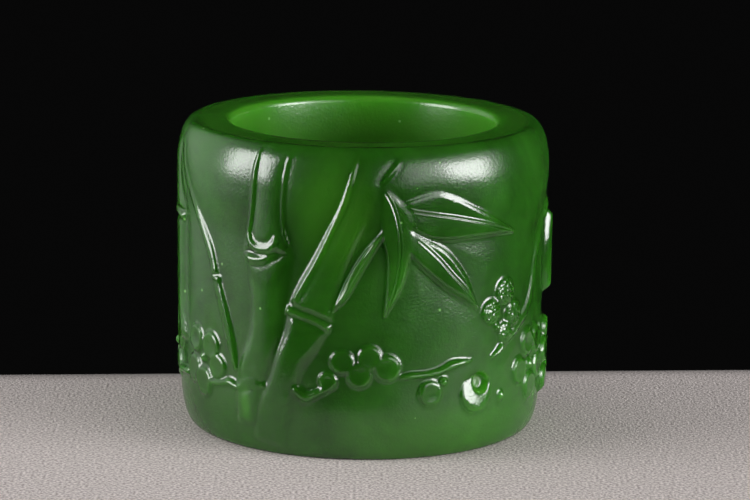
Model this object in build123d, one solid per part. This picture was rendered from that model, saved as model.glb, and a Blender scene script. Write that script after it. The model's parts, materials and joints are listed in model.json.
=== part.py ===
"""An archer's thumb ring of green nephrite, cut from one piece and polished.

The ring is a short thick barrel with a straight bore for the thumb. It stands on its lower end face.
Bamboo, plum and pine are carved in relief round its outside: the ground between them is cut back
below the plain band at the top, and the motifs stand a little above that band.

Millimetres, +Z up along the bore, origin at the middle of the lower end face. The leaning bamboo
faces -Y. Places on the outside are charted as an angle from -Y towards +X, in degrees, and a height
as a share of the ring's height. Widths and radii in the chart are shares of the band's diameter.
"""
import os
from math import cos, radians, sin, sqrt

from build123d import *

# Size of the blank.
BORE_DIAMETER = 22.0
BAND_DIAMETER = 31.0
RING_HEIGHT = 25.6

# Rounding of the two ends: width inwards from the band, and height.
TOP_ROUNDING_WIDTH = 1.45
TOP_ROUNDING_HEIGHT = 3.5
FOOT_ROUNDING_WIDTH = 1.5
FOOT_ROUNDING_HEIGHT = 4.8
BORE_EDGE_RADIUS = 0.55

# Depth of the carved ground below the band, the height of its slope up to the band, and the height
# of the band's straight wall under the top rounding.
GROUND_DEPTH = 0.35
GROUND_SLOPE_HEIGHT = 1.5
BAND_HEIGHT = 0.6

# How far each kind of motif stands above the band's surface.
CULM_LIFT = 0.12
NODE_LIFT = 0.32
LEAF_LIFT = 0.10
BRANCH_LIFT = 0.12
PETAL_LIFT = 0.22
PINE_LIFT = 0.20
BEAD_LIFT = 0.10
HOLLOW_DEPTH = 0.45

# Bamboo culms from joint to joint, bottom to top: angle, height, half width.
CULMS = {
    "leaning_lower": [
        (-30.0, 0.040, 0.047), (-27.5, 0.164, 0.046), (-24.5, 0.242, 0.041), (-22.0, 0.324, 0.041),
        (-18.5, 0.391, 0.049), (-16.0, 0.452, 0.056),
    ],
    "leaning_upper": [
        (-15.2, 0.478, 0.056), (-13.2, 0.547, 0.051), (-9.7, 0.625, 0.044), (-6.2, 0.703, 0.037),
        (-2.8, 0.789, 0.037), (0.5, 0.859, 0.043), (3.6, 0.960, 0.049),
    ],
    "upright_lower": [
        (-36.5, 0.098, 0.035), (-36.0, 0.195, 0.043), (-34.2, 0.285, 0.050), (-31.8, 0.352, 0.047),
        (-30.6, 0.430, 0.049), (-30.1, 0.527, 0.053), (-30.0, 0.586, 0.061), (-29.9, 0.645, 0.072),
    ],
    "upright_upper": [
        (-30.0, 0.665, 0.072), (-30.1, 0.688, 0.066), (-29.9, 0.742, 0.052), (-29.5, 0.801, 0.043),
        (-28.8, 0.898, 0.047), (-28.0, 0.960, 0.049),
    ],
    "thin_lower": [
        (-42.5, 0.285, 0.016), (-45.0, 0.371, 0.017), (-47.5, 0.440, 0.017), (-50.0, 0.500, 0.018),
        (-51.6, 0.538, 0.020),
    ],
    "thin_upper": [
        (-52.0, 0.552, 0.020), (-54.5, 0.633, 0.019), (-58.2, 0.703, 0.019), (-62.0, 0.762, 0.019),
        (-66.5, 0.816, 0.018), (-70.5, 0.870, 0.018), (-74.0, 0.940, 0.018),
    ],
    "side_lower": [
        (-82.0, 0.430, 0.038), (-82.5, 0.500, 0.043), (-83.0, 0.600, 0.043), (-83.5, 0.690, 0.050),
    ],
    "side_upper": [
        (-83.5, 0.710, 0.050), (-84.5, 0.760, 0.044), (-85.5, 0.850, 0.044), (-86.0, 0.950, 0.047),
    ],
    "back_lower": [
        (-128.0, 0.050, 0.047), (-131.0, 0.200, 0.042), (-135.0, 0.340, 0.044), (-137.5, 0.440, 0.054),
    ],
    "back_upper": [
        (-138.0, 0.460, 0.054), (-140.5, 0.560, 0.042), (-144.0, 0.700, 0.040), (-147.0, 0.820, 0.042),
        (-150.0, 0.950, 0.049),
    ],
}

# Raised rings at the bamboo joints, left to right: angle, height, half width.
JOINTS = {
    "leaning_joint": [
        (-22.9, 0.484, 0.008), (-19.0, 0.472, 0.007), (-14.0, 0.456, 0.007), (-9.5, 0.432, 0.008),
    ],
    "upright_joint": [
        (-37.8, 0.658, 0.007), (-34.0, 0.653, 0.006), (-26.5, 0.653, 0.006), (-21.9, 0.660, 0.007),
    ],
    "thin_joint": [
        (-54.0, 0.552, 0.006), (-52.0, 0.546, 0.006), (-49.6, 0.540, 0.006),
    ],
    "side_joint": [
        (-89.5, 0.704, 0.008), (-83.5, 0.700, 0.007), (-77.5, 0.696, 0.008),
    ],
    "back_joint": [
        (-144.0, 0.464, 0.008), (-138.0, 0.450, 0.007), (-131.5, 0.436, 0.008),
    ],
}

# Bamboo leaves from base to tip, along the midrib: angle, height, left and right half widths.
LEAVES = {
    "leaf_down": [
        (9.8, 0.855, 0.026, 0.028), (10.5, 0.781, 0.035, 0.041), (11.2, 0.723, 0.033, 0.041),
        (11.2, 0.645, 0.025, 0.027), (10.3, 0.578, 0.018, 0.021), (7.2, 0.477, 0.0, 0.0),
    ],
    "leaf_right": [
        (15.0, 0.814, 0.030, 0.050), (22.0, 0.801, 0.052, 0.062), (28.0, 0.791, 0.040, 0.060),
        (34.0, 0.777, 0.028, 0.052), (40.0, 0.758, 0.022, 0.038), (46.0, 0.740, 0.014, 0.024),
        (53.0, 0.720, 0.0, 0.0),
    ],
    "leaf_low_right": [
        (15.5, 0.727, 0.010, 0.034), (19.0, 0.695, 0.018, 0.042), (24.0, 0.645, 0.030, 0.043),
        (28.0, 0.598, 0.030, 0.036), (32.0, 0.555, 0.022, 0.027), (35.0, 0.516, 0.010, 0.012),
        (38.0, 0.477, 0.0, 0.0),
    ],
    "leaf_left": [
        (5.5, 0.722, 0.012, 0.010), (3.0, 0.680, 0.022, 0.018), (0.0, 0.628, 0.025, 0.020),
        (-3.0, 0.566, 0.024, 0.020), (-6.0, 0.520, 0.014, 0.012), (-9.0, 0.490, 0.0, 0.0),
    ],
    "back_leaf_high": [
        (-153.0, 0.800, 0.020, 0.020), (-160.0, 0.785, 0.044, 0.044), (-168.0, 0.750, 0.042, 0.042),
        (-177.0, 0.700, 0.024, 0.024), (-186.0, 0.640, 0.0, 0.0),
    ],
    "back_leaf_mid": [
        (-150.0, 0.740, 0.018, 0.018), (-154.0, 0.680, 0.040, 0.040), (-159.0, 0.600, 0.040, 0.040),
        (-164.0, 0.520, 0.022, 0.022), (-168.0, 0.450, 0.0, 0.0),
    ],
    "back_leaf_low": [
        (-146.0, 0.740, 0.016, 0.016), (-146.5, 0.680, 0.034, 0.034), (-148.0, 0.600, 0.036, 0.036),
        (-150.0, 0.500, 0.020, 0.020), (-152.0, 0.410, 0.0, 0.0),
    ],
    "back_leaf_side": [
        (-139.0, 0.760, 0.016, 0.016), (-132.0, 0.745, 0.036, 0.036), (-124.0, 0.700, 0.038, 0.038),
        (-116.0, 0.630, 0.024, 0.024), (-109.0, 0.540, 0.0, 0.0),
    ],
}

# Plum branches and their twigs: angle, height, half width.
BRANCHES = {
    "branch_left": [
        (-54.0, 0.207, 0.010), (-49.0, 0.213, 0.009), (-44.0, 0.229, 0.013), (-40.5, 0.221, 0.011),
        (-37.0, 0.238, 0.012), (-33.5, 0.243, 0.011), (-30.0, 0.232, 0.010),
    ],
    "branch_middle": [
        (-20.5, 0.232, 0.010), (-16.7, 0.207, 0.013), (-13.5, 0.221, 0.010), (-10.0, 0.240, 0.009),
    ],
    "branch_right": [
        (12.0, 0.276, 0.008), (16.0, 0.280, 0.011), (20.5, 0.282, 0.009), (25.0, 0.289, 0.011),
        (29.0, 0.304, 0.014), (33.0, 0.309, 0.011), (42.0, 0.309, 0.010), (51.0, 0.345, 0.012),
    ],
    "stem": [
        (50.0, 0.345, 0.013), (57.0, 0.391, 0.018), (61.0, 0.416, 0.018), (64.5, 0.452, 0.018),
        (67.5, 0.512, 0.018), (70.0, 0.590, 0.018), (73.5, 0.656, 0.018), (79.0, 0.710, 0.017),
    ],
    "back_bough": [
        (79.0, 0.710, 0.017), (88.0, 0.735, 0.018), (97.0, 0.720, 0.016), (106.0, 0.740, 0.015),
        (116.0, 0.720, 0.013), (128.0, 0.690, 0.011),
    ],
    "back_branch": [
        (-68.0, 0.200, 0.009), (-78.0, 0.190, 0.011), (-90.0, 0.215, 0.012), (-102.0, 0.200, 0.012),
        (-113.0, 0.230, 0.011),
    ],
    "back_twig": [
        (139.0, 0.310, 0.010), (147.0, 0.290, 0.012), (157.0, 0.315, 0.012), (167.0, 0.290, 0.010),
    ],
}

# Plum petals, buds and the round boss: angle, height, radius.
PETALS = [
    (-10.0, 0.262, 0.030), (-5.5, 0.320, 0.036), (2.5, 0.346, 0.036), (-0.5, 0.283, 0.038),
    (8.0, 0.309, 0.035), (22.0, 0.223, 0.030),
    (-52.0, 0.258, 0.034), (-58.0, 0.203, 0.039), (-55.0, 0.336, 0.036), (-64.0, 0.336, 0.038),
    (-65.5, 0.234, 0.038),
    (58.0, 0.225, 0.036), (63.0, 0.300, 0.036), (71.5, 0.322, 0.038), (76.0, 0.240, 0.038),
    (67.5, 0.180, 0.036),
    (-118.0, 0.262, 0.036), (-113.0, 0.330, 0.034),
    (172.0, 0.270, 0.034), (171.0, 0.345, 0.036), (178.0, 0.390, 0.036), (186.0, 0.345, 0.036),
    (184.0, 0.262, 0.036),
    (128.0, 0.745, 0.034), (132.0, 0.670, 0.036), (140.0, 0.700, 0.036), (138.0, 0.775, 0.036),
    (98.0, 0.630, 0.030),
]
BOSS = (37.5, 0.238, 0.062)
BOSS_HOLLOW = (37.5, 0.240, 0.042)

# Clusters of pine needles: angle, height, radius.
PINE_CLUSTERS = [
    (43.5, 0.449, 0.040), (50.5, 0.500, 0.052), (54.5, 0.434, 0.044), (48.5, 0.385, 0.030),
    (104.0, 0.440, 0.044), (112.0, 0.490, 0.050), (120.0, 0.440, 0.046), (112.0, 0.385, 0.040),
]

# Small beads at the middle of the blossoms and beside the twigs: angle, height, radius.
BEADS = [
    (-58.8, 0.282, 0.012), (48.2, 0.176, 0.011), (67.0, 0.248, 0.013), (178.5, 0.318, 0.012),
    (134.5, 0.724, 0.012),
]

BORE_RADIUS = BORE_DIAMETER / 2
BAND_RADIUS = BAND_DIAMETER / 2
GROUND_RADIUS = BAND_RADIUS - GROUND_DEPTH
TOP_FLAT_RADIUS = BAND_RADIUS - TOP_ROUNDING_WIDTH
FOOT_FLAT_RADIUS = GROUND_RADIUS - FOOT_ROUNDING_WIDTH
ROOT_RADIUS = (BORE_RADIUS + GROUND_RADIUS) / 2


def across(deg, distance):
    """The point at an angle on the chart and a distance from the bore's axis, as x and y."""
    return distance * sin(radians(deg)), -distance * cos(radians(deg))


def ground_radius(height):
    """Radius of the carved blank at a height: a straight wall between two quarter ellipses."""
    foot_share = max(0.0, 1 - height / FOOT_ROUNDING_HEIGHT)
    top_share = max(0.0, 1 - (RING_HEIGHT - height) / TOP_ROUNDING_HEIGHT)
    foot_cut = FOOT_ROUNDING_WIDTH * (1 - sqrt(1 - foot_share**2))
    top_cut = TOP_ROUNDING_WIDTH * (1 - sqrt(1 - top_share**2))
    return GROUND_RADIUS - foot_cut - top_cut


def blank():
    """The turned barrel before it is bored, with the cut-back ground and the plain band above it."""
    top_start = RING_HEIGHT - TOP_ROUNDING_HEIGHT
    band_bottom = top_start - BAND_HEIGHT
    with BuildSketch(Plane.XZ) as half:
        with BuildLine():
            Polyline((0, RING_HEIGHT), (0, 0), (FOOT_FLAT_RADIUS, 0))
            EllipticalCenterArc(
                (FOOT_FLAT_RADIUS, FOOT_ROUNDING_HEIGHT), FOOT_ROUNDING_WIDTH,
                FOOT_ROUNDING_HEIGHT, start_angle=270, arc_size=90,
            )
            Polyline(
                (GROUND_RADIUS, FOOT_ROUNDING_HEIGHT),
                (GROUND_RADIUS, band_bottom - GROUND_SLOPE_HEIGHT),
                (BAND_RADIUS, band_bottom),
                (BAND_RADIUS, top_start),
            )
            EllipticalCenterArc(
                (TOP_FLAT_RADIUS, top_start), TOP_ROUNDING_WIDTH, TOP_ROUNDING_HEIGHT,
                start_angle=0, arc_size=90,
            )
            Line((TOP_FLAT_RADIUS, RING_HEIGHT), (0, RING_HEIGHT))
        make_face()
    return revolve(half.sketch, Axis.Z)


def bore():
    """The drill for the thumb's bore, which rounds both mouths and passes both end faces."""
    mouth = BORE_RADIUS + BORE_EDGE_RADIUS
    over = RING_HEIGHT + BORE_EDGE_RADIUS
    with BuildSketch(Plane.XZ) as half:
        with BuildLine():
            Polyline((0, over), (0, -BORE_EDGE_RADIUS), (mouth, -BORE_EDGE_RADIUS), (mouth, 0))
            RadiusArc((mouth, 0), (BORE_RADIUS, BORE_EDGE_RADIUS), BORE_EDGE_RADIUS)
            Line((BORE_RADIUS, BORE_EDGE_RADIUS), (BORE_RADIUS, RING_HEIGHT - BORE_EDGE_RADIUS))
            RadiusArc(
                (BORE_RADIUS, RING_HEIGHT - BORE_EDGE_RADIUS), (mouth, RING_HEIGHT),
                BORE_EDGE_RADIUS,
            )
            Polyline((mouth, RING_HEIGHT), (mouth, over), (0, over))
        make_face()
    return revolve(half.sketch, Axis.Z)


def barrel(lift):
    """A plain solid barrel whose wall stands at a lift above the band, between the same end faces."""
    wall = BAND_RADIUS + lift
    top_start = RING_HEIGHT - TOP_ROUNDING_HEIGHT
    with BuildSketch(Plane.XZ) as half:
        with BuildLine():
            Polyline((0, RING_HEIGHT), (0, 0), (FOOT_FLAT_RADIUS, 0))
            EllipticalCenterArc(
                (FOOT_FLAT_RADIUS, FOOT_ROUNDING_HEIGHT), wall - FOOT_FLAT_RADIUS,
                FOOT_ROUNDING_HEIGHT, start_angle=270, arc_size=90,
            )
            Line((wall, FOOT_ROUNDING_HEIGHT), (wall, top_start))
            EllipticalCenterArc(
                (TOP_FLAT_RADIUS, top_start), wall - TOP_FLAT_RADIUS, TOP_ROUNDING_HEIGHT,
                start_angle=0, arc_size=90,
            )
            Line((TOP_FLAT_RADIUS, RING_HEIGHT), (0, RING_HEIGHT))
        make_face()
    return revolve(half.sketch, Axis.Z)


def chart_plane(deg):
    """The upright plane in the middle of the wall that faces outwards at an angle."""
    outwards = (*across(deg, 1), 0)
    to_the_right = (cos(radians(deg)), sin(radians(deg)), 0)
    return Plane(origin=(*across(deg, ROOT_RADIUS), 0), x_dir=to_the_right, z_dir=outwards)


def edges_of_band(rows, middle):
    """Both edges of a motif along its path: each row is set off square to the path, both ways."""
    path = [Vector(BAND_RADIUS * sin(radians(row[0] - middle)), row[1] * RING_HEIGHT) for row in rows]
    left = []
    right = []
    for i, row in enumerate(rows):
        along = (path[min(i + 1, len(rows) - 1)] - path[max(i - 1, 0)]).normalized()
        square = Vector(-along.Y, along.X)
        left.append(path[i] + square * row[2] * BAND_DIAMETER)
        right.append(path[i] - square * row[-1] * BAND_DIAMETER)
    return left, right


def raised_band(rows, lift):
    """A motif with its own outline, raised to a lift above the band and following the barrel."""
    middle = (min(row[0] for row in rows) + max(row[0] for row in rows)) / 2
    left, right = edges_of_band(rows, middle)
    rim = [Spline(*left), Spline(*reversed(right)), Line(right[0], left[0])]
    if rows[-1][2] > 0:
        rim.append(Line(left[-1], right[-1]))
    plane = chart_plane(middle)
    prism = extrude(plane * make_face(rim), amount=BAND_RADIUS - BORE_RADIUS)
    return prism & barrel(lift)


def dome(deg, height, radius, lift):
    """A round swelling: the cap of a ball, with its foot on the ground and its top at the lift."""
    foot = radius * BAND_DIAMETER
    rise = GROUND_DEPTH + lift
    ball = (foot**2 + rise**2) / (2 * rise)
    x, y = across(deg, ground_radius(height * RING_HEIGHT) + rise - ball)
    return Pos(x, y, height * RING_HEIGHT) * Sphere(ball)


def hollow(deg, height, radius, depth):
    """The ball that dishes out the top of the boss to a depth."""
    foot = radius * BAND_DIAMETER
    ball = (foot**2 + depth**2) / (2 * depth)
    top = ground_radius(height * RING_HEIGHT) + GROUND_DEPTH + PETAL_LIFT
    x, y = across(deg, top - depth + ball)
    return Pos(x, y, height * RING_HEIGHT) * Sphere(ball)


thumb_ring = blank()
for table, lift in (
    (CULMS, CULM_LIFT), (JOINTS, NODE_LIFT), (LEAVES, LEAF_LIFT), (BRANCHES, BRANCH_LIFT),
):
    thumb_ring = thumb_ring.fuse(*[raised_band(rows, lift) for rows in table.values()])
for table, lift in ((PETALS + [BOSS], PETAL_LIFT), (PINE_CLUSTERS, PINE_LIFT), (BEADS, BEAD_LIFT)):
    thumb_ring = thumb_ring.fuse(*[dome(*row, lift) for row in table])
thumb_ring = thumb_ring - bore() - hollow(*BOSS_HOLLOW, HOLLOW_DEPTH)

os.makedirs("parts", exist_ok=True)
export_step(thumb_ring, "parts/thumb_ring.step")
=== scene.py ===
import json
import math
from collections import namedtuple

import bpy
import numpy as np
from mathutils import Euler, Matrix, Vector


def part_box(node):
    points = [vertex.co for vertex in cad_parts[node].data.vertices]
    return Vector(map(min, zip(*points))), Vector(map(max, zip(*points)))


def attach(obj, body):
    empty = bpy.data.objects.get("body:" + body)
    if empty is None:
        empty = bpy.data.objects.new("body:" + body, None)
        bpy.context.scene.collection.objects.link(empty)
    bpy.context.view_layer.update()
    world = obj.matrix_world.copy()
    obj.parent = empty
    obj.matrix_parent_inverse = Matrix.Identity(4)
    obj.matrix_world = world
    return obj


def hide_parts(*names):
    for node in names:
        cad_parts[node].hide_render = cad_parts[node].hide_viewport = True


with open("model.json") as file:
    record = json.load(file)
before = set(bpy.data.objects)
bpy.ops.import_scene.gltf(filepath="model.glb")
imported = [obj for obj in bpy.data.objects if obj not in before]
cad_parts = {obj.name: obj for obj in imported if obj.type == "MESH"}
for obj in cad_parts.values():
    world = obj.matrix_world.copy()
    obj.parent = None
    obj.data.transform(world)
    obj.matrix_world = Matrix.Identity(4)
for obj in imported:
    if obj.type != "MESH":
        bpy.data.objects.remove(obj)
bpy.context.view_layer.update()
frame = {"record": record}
MM = 0.001

# The blank of the ring: a short thick barrel of green nephrite, sawn from one block, bored for the
# thumb and turned round. Its outside is a straight wall between two elliptical roundings, and the
# bore's two mouths are rounded a little.
low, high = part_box("thumb_ring")
mounts = {mount["name"]: mount for mount in frame["record"]["mounts"]}
RING_HEIGHT = high[2] - low[2]
BORE_RADIUS = mounts["thumb_bore"]["dims"]["r_mm"] * MM
BORE_EDGE_RADIUS = (RING_HEIGHT - mounts["thumb_bore"]["dims"]["length_mm"] * MM) / 2
BAND_DIAMETER = 31.0 * MM
BAND_RADIUS = BAND_DIAMETER / 2
TOP_ROUNDING_WIDTH = 1.45 * MM
TOP_ROUNDING_HEIGHT = 3.5 * MM
FOOT_ROUNDING_WIDTH = 1.45 * MM
FOOT_ROUNDING_HEIGHT = 4.8 * MM
COLUMNS = 540
FRONT_SHARE = 0.71
FRONT_HALF_WIDTH = math.radians(92)
FRONT_BLEND = 0.12
FINE_STEPS = 3600


def barrel_wall(foot_rows, wall_rows, top_rows):
    """Radius, height and strength of the carving for each row of the outside, foot to top.

    A rounding is a quarter ellipse: the radius grows with the sine and the height with one minus
    the cosine of an angle. The carving fades with the same sine, so it ends at the flat end faces.
    """
    turn = np.linspace(0, math.pi / 2, foot_rows, endpoint=False)
    foot_radius = BAND_RADIUS - FOOT_ROUNDING_WIDTH * (1 - np.sin(turn))
    foot_height = FOOT_ROUNDING_HEIGHT * (1 - np.cos(turn))
    foot_strength = np.sin(turn)
    wall_height = np.linspace(FOOT_ROUNDING_HEIGHT, RING_HEIGHT - TOP_ROUNDING_HEIGHT, wall_rows)
    turn = np.linspace(math.pi / 2, 0, top_rows + 1)[1:]
    top_radius = BAND_RADIUS - TOP_ROUNDING_WIDTH * (1 - np.sin(turn))
    top_height = RING_HEIGHT - TOP_ROUNDING_HEIGHT * (1 - np.cos(turn))
    radius = np.concatenate([foot_radius, np.full(wall_rows, BAND_RADIUS), top_radius])
    height = np.concatenate([foot_height, wall_height, top_height])
    strength = np.concatenate([foot_strength, np.ones(wall_rows), np.sin(turn)])
    return radius, height, strength


def bored_inside(flat_rows, edge_rows, bore_rows):
    """Radius and height for each row over the top face, down the bore and back under the foot.

    The flat faces are straight, and each mouth is a quarter circle from the face to the bore.
    """
    mouth = BORE_RADIUS + BORE_EDGE_RADIUS
    turn = np.linspace(0, math.pi / 2, edge_rows)
    edge_radius = mouth - BORE_EDGE_RADIUS * np.sin(turn)
    edge_drop = BORE_EDGE_RADIUS * (1 - np.cos(turn))
    top_flat = np.linspace(BAND_RADIUS - TOP_ROUNDING_WIDTH, mouth, flat_rows + 1)[1:-1]
    foot_flat = np.linspace(mouth, BAND_RADIUS - FOOT_ROUNDING_WIDTH, flat_rows + 1)[1:-1]
    bore_height = np.linspace(RING_HEIGHT - BORE_EDGE_RADIUS, BORE_EDGE_RADIUS, bore_rows)[1:-1]
    radius = np.concatenate([
        top_flat, edge_radius, np.full(len(bore_height), BORE_RADIUS), edge_radius[::-1], foot_flat])
    height = np.concatenate([
        np.full(len(top_flat), RING_HEIGHT), RING_HEIGHT - edge_drop, bore_height,
        edge_drop[::-1], np.zeros(len(foot_flat))])
    return radius, height


def spaced_angles():
    """Angles round the ring in radians, closer together over the front than over the back.

    The front's share of the columns is spread evenly over it, the rest over the back, and a running
    sum of a blended density joins the two without a jump.
    """
    fine = np.linspace(-math.pi, math.pi, FINE_STEPS + 1)
    front = 1 / (1 + np.exp((np.abs(fine) - FRONT_HALF_WIDTH) / FRONT_BLEND))
    front_density = FRONT_SHARE / (2 * FRONT_HALF_WIDTH)
    back_density = (1 - FRONT_SHARE) / (2 * (math.pi - FRONT_HALF_WIDTH))
    density = front * front_density + (1 - front) * back_density
    running = np.concatenate([[0], np.cumsum((density[1:] + density[:-1]) / 2)])
    running /= running[-1]
    return np.interp(np.arange(COLUMNS) / COLUMNS, running, fine)


angle = spaced_angles()
wall_radius, wall_height, carving_strength = barrel_wall(foot_rows=22, wall_rows=117, top_rows=22)
inside_radius, inside_height = bored_inside(flat_rows=4, edge_rows=6, bore_rows=8)
chart_angle, chart_height = np.meshgrid(np.degrees(angle), wall_height)


# The bamboo: culms that stand up through the scene, cut as broad rounded bands. Each runs from joint
# to joint, swells towards its ends, and falls to the ground in a soft slope.
CULM_LIFT = 0.06 * MM
CULM_CROWN = 0.16 * MM
CROWN_POWER = 2.5
BROAD_HALF_WIDTH = 0.045
THIN_CULM_LIFT = -0.10 * MM
THIN_CULM_CRISPNESS = 0.6
JOINT_LIFT = 0.09 * MM
JOINT_CROWN = 0.08 * MM
BOWL_LIFT = 0.13 * MM
BOWL_CROWN = 0.10 * MM
JOINT_CRISPNESS = 0.4
LIP_LIFT = 0.08 * MM
LIP_LENGTH = 1.25 * MM
LIP_MIDDLE = 0.32
LIP_SLOPE = 0.50 * MM

# A layer of the carving: how deep each point lies inside the motif's edge, the motif's top, how crisp its
# wall is, and the distance from a cut line. A soft wall is wide, and a layer laid over others replaces them.
NO_LINE = 9.0 * MM
SOFT = 0.0
LAID_OVER = 0.9
Layer = namedtuple("Layer", "depth top crispness aside", defaults=[NO_LINE])


def smooth(x):
    """Rises from 0 to 1 over the unit interval with flat ends: three x squared less two x cubed."""
    x = np.clip(x, 0, 1)
    return x * x * (3 - 2 * x)


def path_through(rows, steps=8):
    """A smooth path through a table's rows: a cubic between each two, sloped by their neighbours.

    A row is an angle in degrees, a share of the height, and the half widths to the left and to the
    right, or one for both, as shares of the band's diameter.
    """
    points = np.array([(row[0], row[1] * RING_HEIGHT, row[2] * BAND_DIAMETER, row[-1] * BAND_DIAMETER)
                       for row in rows])
    points[:, 0] = np.radians(points[:, 0]) * BAND_RADIUS
    knots = np.concatenate([[0], np.cumsum(np.hypot(*np.diff(points[:, :2], axis=0).T))])
    slopes = np.gradient(points, knots, axis=0)
    span = np.repeat(np.arange(len(rows) - 1), steps)
    t = np.tile(np.arange(steps) / steps, len(rows) - 1)[:, None]
    length = (knots[span + 1] - knots[span])[:, None]
    path = ((1 + 2 * t) * (1 - t) ** 2 * points[span] + t * (1 - t) ** 2 * length * slopes[span]
            + t**2 * (3 - 2 * t) * points[span + 1] - t**2 * (1 - t) * length * slopes[span + 1])
    return np.concatenate([path, points[-1:]])


Band = namedtuple("Band", "depth across along length aside")
NEAR_REACH = 3.0 * MM
LEAST_HALF_WIDTH = 0.02 * MM
FARTHEST_ACROSS = 1.5


def places_on_band(rows):
    """For each point of the chart: its depth inside a band's edge, and its places across and along.

    The nearest point of the path gives the signed distance aside from it. The depth is the smallest
    of what is left to the left edge, the right edge and the two ends, and is negative outside.
    Across runs from -1 at the right edge to 1 at the left one, and length is the whole band's.
    """
    path = path_through(rows)
    middle = np.degrees(path[:, 0].mean() / BAND_RADIUS)
    turned = (chart_angle - middle + 180) % 360 - 180 + middle
    around = np.radians(turned) * BAND_RADIUS
    lowest, highest = path.min(axis=0) - NEAR_REACH, path.max(axis=0) + NEAR_REACH
    near = ((around > lowest[0]) & (around < highest[0])
            & (chart_height > lowest[1]) & (chart_height < highest[1]))
    spot = np.stack([around[near], chart_height[near]], axis=1)
    start, step = path[:-1, :2], np.diff(path[:, :2], axis=0)
    run = np.hypot(step[:, 0], step[:, 1])
    from_start = spot[:, None, :] - start[None]
    share = np.clip((from_start * step).sum(axis=2) / run**2, 0, 1)
    away = from_start - share[..., None] * step
    nearest = np.argmin((away**2).sum(axis=2), axis=1)
    pick = np.arange(len(spot))
    share = share[pick, nearest]
    away = away[pick, nearest]
    heading = step[nearest] / run[nearest][:, None]
    sideways = heading[:, 0] * away[:, 1] - heading[:, 1] * away[:, 0]
    before = np.concatenate([[0], np.cumsum(run)])
    ahead = (from_start[pick, nearest] * heading).sum(axis=1)
    in_end_step = (nearest == 0) | (nearest == len(run) - 1)
    along = before[nearest] + np.where(in_end_step, ahead, share * run[nearest])
    left = path[nearest, 2] * (1 - share) + path[nearest + 1, 2] * share
    right = path[nearest, 3] * (1 - share) + path[nearest + 1, 3] * share
    sideways_full = np.where(share * (1 - share) > 0, sideways, np.sign(sideways) * np.hypot(*away.T))
    depth = np.minimum(np.minimum(left - sideways_full, right + sideways_full),
                       np.minimum(along, before[-1] - along))
    half_width = np.maximum(np.where(sideways > 0, left, right), LEAST_HALF_WIDTH)
    across = np.clip(sideways / half_width, -FARTHEST_ACROSS, FARTHEST_ACROSS)

    def over_chart(values, elsewhere=0.0):
        """The values at the points near the band, and one value at all others."""
        whole = np.full(chart_angle.shape, elsewhere)
        whole[near] = values
        return whole

    return Band(over_chart(depth, -NEAR_REACH), over_chart(across), over_chart(along), before[-1],
                over_chart(sideways))


UPRIGHT_CULM = {
    "lower": [
        (-36.5, 0.098, 0.036), (-36.3, 0.195, 0.041), (-33.9, 0.285, 0.046), (-31.5, 0.352, 0.043),
        (-29.9, 0.430, 0.045), (-29.5, 0.527, 0.051), (-29.5, 0.586, 0.059), (-29.8, 0.645, 0.069),
    ],
    "upper": [
        (-29.9, 0.665, 0.066), (-29.8, 0.695, 0.057), (-29.9, 0.742, 0.049), (-29.7, 0.801, 0.046),
        (-29.1, 0.898, 0.049), (-28.1, 0.960, 0.051), (-27.0, 1.030, 0.053),
    ],
    "joint": [
        (-37.2, 0.641, 0.003), (-35.0, 0.633, 0.008), (-32.0, 0.635, 0.009), (-29.6, 0.643, 0.008),
        (-26.8, 0.652, 0.003),
    ],
    "bowl": [
        (-35.9, 0.712, 0.003), (-35.4, 0.688, 0.010), (-33.6, 0.672, 0.012), (-31.2, 0.668, 0.012),
        (-28.9, 0.672, 0.012), (-27.2, 0.688, 0.010), (-26.6, 0.712, 0.003),
    ],
}
LEANING_CULM = {
    "lower": [
        (-29.6, 0.040, 0.046), (-27.0, 0.164, 0.046), (-24.3, 0.242, 0.042), (-21.8, 0.324, 0.042),
        (-18.3, 0.391, 0.049), (-16.0, 0.448, 0.056),
    ],
    "upper": [
        (-15.2, 0.478, 0.056), (-13.1, 0.547, 0.050), (-10.0, 0.625, 0.043), (-6.6, 0.700, 0.038),
        (-3.9, 0.760, 0.037), (-1.3, 0.817, 0.041), (1.0, 0.890, 0.040), (2.3, 0.925, 0.043),
        (4.2, 0.960, 0.050), (7.0, 1.030, 0.056),
    ],
    "joint": [(-22.9, 0.484, 0.008), (-19.0, 0.472, 0.007), (-14.0, 0.456, 0.007), (-9.5, 0.432, 0.008)],
}
THIN_CULM = {
    "lower": [
        (-41.6, 0.262, 0.004), (-43.0, 0.320, 0.010), (-44.6, 0.371, 0.014), (-47.0, 0.440, 0.015),
        (-49.3, 0.500, 0.015), (-50.7, 0.536, 0.014),
    ],
    "upper": [
        (-51.4, 0.556, 0.012), (-54.3, 0.630, 0.014), (-57.4, 0.678, 0.013), (-60.4, 0.722, 0.012),
        (-64.0, 0.768, 0.011), (-67.5, 0.810, 0.010), (-71.0, 0.860, 0.009), (-74.5, 0.930, 0.008),
    ],
    "joint": [(-53.0, 0.549, 0.006), (-51.4, 0.545, 0.006), (-49.2, 0.541, 0.006)],
}
SIDE_CULM = {
    "lower": [
        (-74.0, 0.300, 0.030), (-76.5, 0.380, 0.036), (-78.0, 0.450, 0.040), (-78.5, 0.520, 0.043),
        (-79.0, 0.600, 0.043), (-79.5, 0.695, 0.050),
    ],
    "upper": [(-79.5, 0.715, 0.050), (-80.5, 0.765, 0.044), (-81.5, 0.850, 0.044), (-82.0, 0.950, 0.047)],
    "joint": [(-85.5, 0.709, 0.008), (-79.5, 0.705, 0.007), (-73.5, 0.701, 0.008)],
}
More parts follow.
